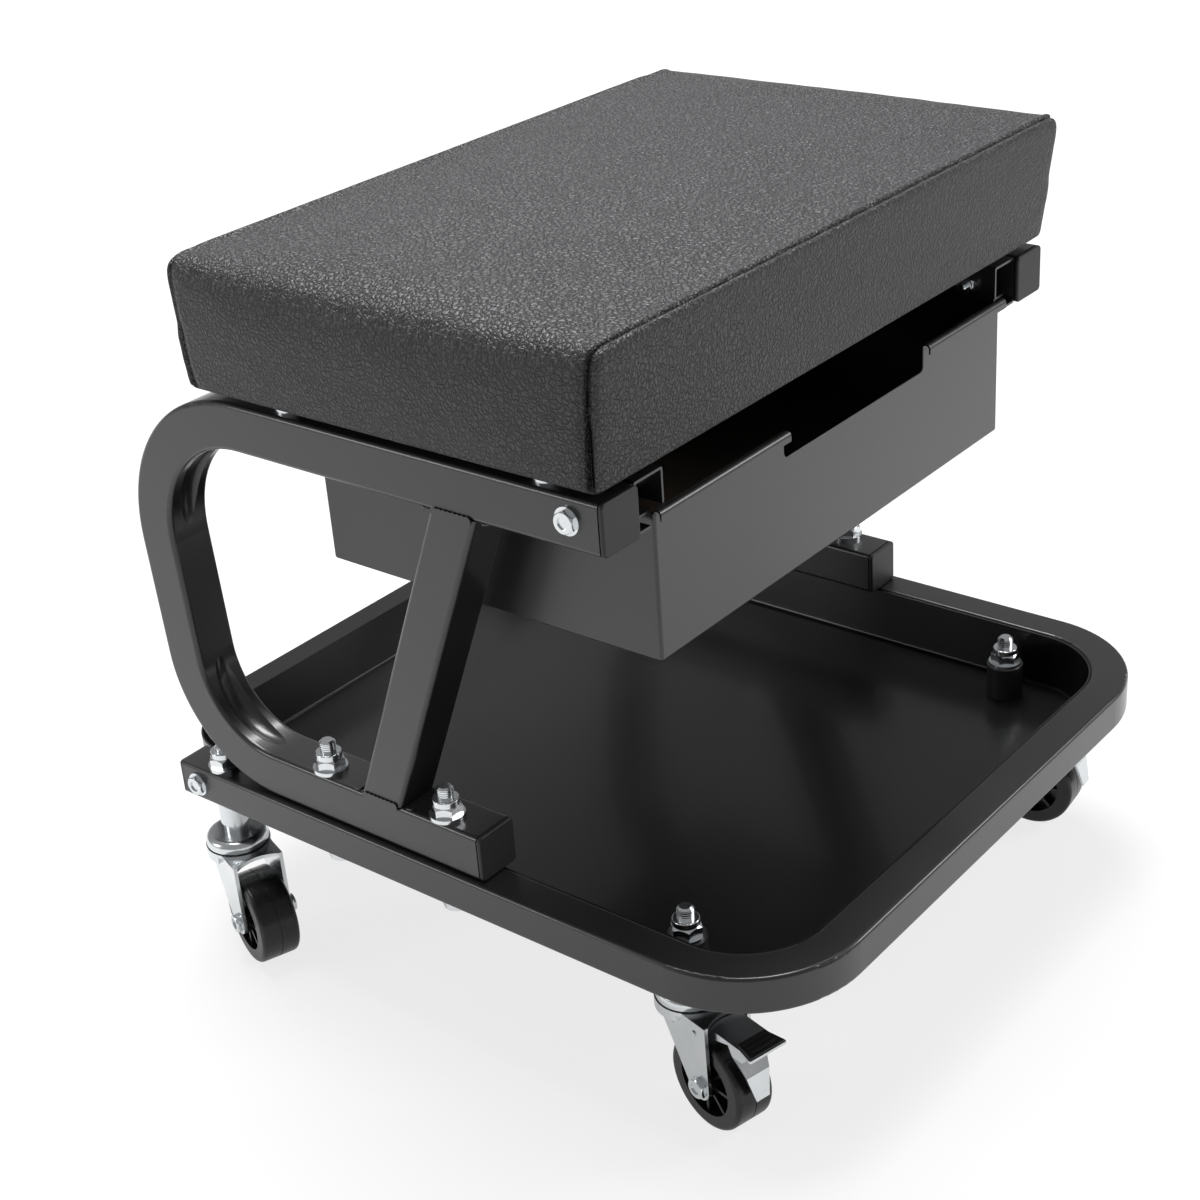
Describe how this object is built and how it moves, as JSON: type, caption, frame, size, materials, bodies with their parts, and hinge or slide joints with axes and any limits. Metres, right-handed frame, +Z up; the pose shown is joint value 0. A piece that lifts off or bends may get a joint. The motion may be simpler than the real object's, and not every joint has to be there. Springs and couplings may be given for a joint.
{
  "type": "workshop stool",
  "caption": "Low rolling workshop stool with padded seat, pull-out drawer, tool tray base, C-shaped side frames and braked swivel casters.",
  "frame": {"origin": "on the floor, below the middle of the whole stool", "axes": "+Z up, -Y towards the front, to which the drawer opens, X along the seat's long side"},
  "size_m": [0.4148, 0.429, 0.404],
  "materials": {
    "frame_paint": "satin black powder coat",
    "weld_paint": "satin black powder coat over weld beads",
    "tray_paint": "satin black powder coat",
    "drawer_paint": "satin black powder coat",
    "black_plastic": "semi-matt moulded plastic",
    "zinc_fastener": "bright zinc plated",
    "zinc_sheet": "zinc plated pressed sheet",
    "wheel_rubber": "smooth moulded tyre",
    "plywood": "raw plywood",
    "foam": "open-cell foam",
    "vinyl": "leather-grained vinyl, semi-matt",
    "vinyl_piping": "smooth vinyl piping"
  },
  "bodies": {
    "frame": {"base_frame": "frame_paint", "base_caps": "black_plastic", "tool_tray": "tray_paint", "side_frame_left": "frame_paint", "side_frame_right": "frame_paint", "brace_left": "frame_paint", "brace_right": "frame_paint", "weld_beads": "weld_paint", "frame_plugs": "black_plastic", "frame_bolts": "zinc_fastener", "frame_nuts": "zinc_fastener", "tray_bolts": "zinc_fastener", "tray_nuts": "zinc_fastener", "rail_left": "frame_paint", "rail_right": "frame_paint", "rail_bolts": "zinc_fastener", "rail_nuts": "zinc_fastener", "rail_screws": "zinc_fastener", "seat_board": "plywood", "seat_foam": "foam", "seat_cover": "vinyl", "seat_piping": "vinyl_piping", "tee_nuts": "zinc_fastener", "seat_bolts": "zinc_fastener", "seat_washers": "zinc_fastener", "cover_staples": "zinc_fastener", "caster_studs": "zinc_fastener", "caster_races": "zinc_sheet", "caster_nuts": "zinc_fastener", "stud_spacers": "black_plastic", "stud_collars": "zinc_sheet"},
    "drawer": {"drawer_box": "drawer_paint", "drawer_glides": "black_plastic"},
    "caster_fl": {"fork_fl": "zinc_sheet", "balls_fl": "zinc_fastener", "sleeve_fl": "zinc_fastener", "axle_bolt_fl": "zinc_fastener", "axle_nut_fl": "zinc_fastener"},
    "wheel_fl": {"wheel_fl": "wheel_rubber"},
    "brake_lever_fl": {"brake_fl": "zinc_sheet"},
    "caster_fr": {"fork_fr": "zinc_sheet", "balls_fr": "zinc_fastener", "sleeve_fr": "zinc_fastener", "axle_bolt_fr": "zinc_fastener", "axle_nut_fr": "zinc_fastener"},
    "wheel_fr": {"wheel_fr": "wheel_rubber"},
    "brake_lever_fr": {"brake_fr": "zinc_sheet"},
    "caster_rl": {"fork_rl": "zinc_sheet", "balls_rl": "zinc_fastener", "sleeve_rl": "zinc_fastener", "axle_bolt_rl": "zinc_fastener", "axle_nut_rl": "zinc_fastener"},
    "wheel_rl": {"wheel_rl": "wheel_rubber"},
    "caster_rr": {"fork_rr": "zinc_sheet", "balls_rr": "zinc_fastener", "sleeve_rr": "zinc_fastener", "axle_bolt_rr": "zinc_fastener", "axle_nut_rr": "zinc_fastener"},
    "wheel_rr": {"wheel_rr": "wheel_rubber"}
  },
  "joints": [
    {"name": "drawer_slide", "type": "slide", "parent": "frame", "child": "drawer", "axis": [0, -1, 0], "range_m": [0, 0.15]},
    {"name": "swivel_fl", "type": "hinge", "parent": "frame", "child": "caster_fl", "pos_m": [-0.153, -0.1345, 0.075], "axis": [0, 0, 1], "continuous": true},
    {"name": "spin_fl", "type": "hinge", "parent": "caster_fl", "child": "wheel_fl", "pos_m": [-0.15808, -0.15488, 0.025], "axis": [0.9703, -0.2419, 0], "continuous": true},
    {"name": "brake_fl", "type": "hinge", "parent": "caster_fl", "child": "brake_lever_fl", "pos_m": [-0.1576, -0.15294, 0.0558], "axis": [0.9703, -0.2419, 0], "range_deg": [0, 6]},
    {"name": "swivel_fr", "type": "hinge", "parent": "frame", "child": "caster_fr", "pos_m": [0.153, -0.1345, 0.075], "axis": [0, 0, 1], "continuous": true},
    {"name": "spin_fr", "type": "hinge", "parent": "caster_fr", "child": "wheel_fr", "pos_m": [0.15519, -0.15538, 0.025], "axis": [0.9945, 0.1045, 0], "continuous": true},
    {"name": "brake_fr", "type": "hinge", "parent": "caster_fr", "child": "brake_lever_fr", "pos_m": [0.15499, -0.1534, 0.0558], "axis": [0.9945, 0.1045, 0], "range_deg": [0, 6]},
    {"name": "swivel_rl", "type": "hinge", "parent": "frame", "child": "caster_rl", "pos_m": [-0.182, 0.1495, 0.075], "axis": [0, 0, 1], "continuous": true},
    {"name": "spin_rl", "type": "hinge", "parent": "caster_rl", "child": "wheel_rl", "pos_m": [-0.18918, 0.12977, 0.025], "axis": [0.9397, -0.342, 0], "continuous": true},
    {"name": "swivel_rr", "type": "hinge", "parent": "frame", "child": "caster_rr", "pos_m": [0.182, 0.1495, 0.075], "axis": [0, 0, 1], "continuous": true},
    {"name": "spin_rr", "type": "hinge", "parent": "caster_rr", "child": "wheel_rr", "pos_m": [0.18918, 0.12977, 0.025], "axis": [0.9397, 0.342, 0], "continuous": true}
  ]
}
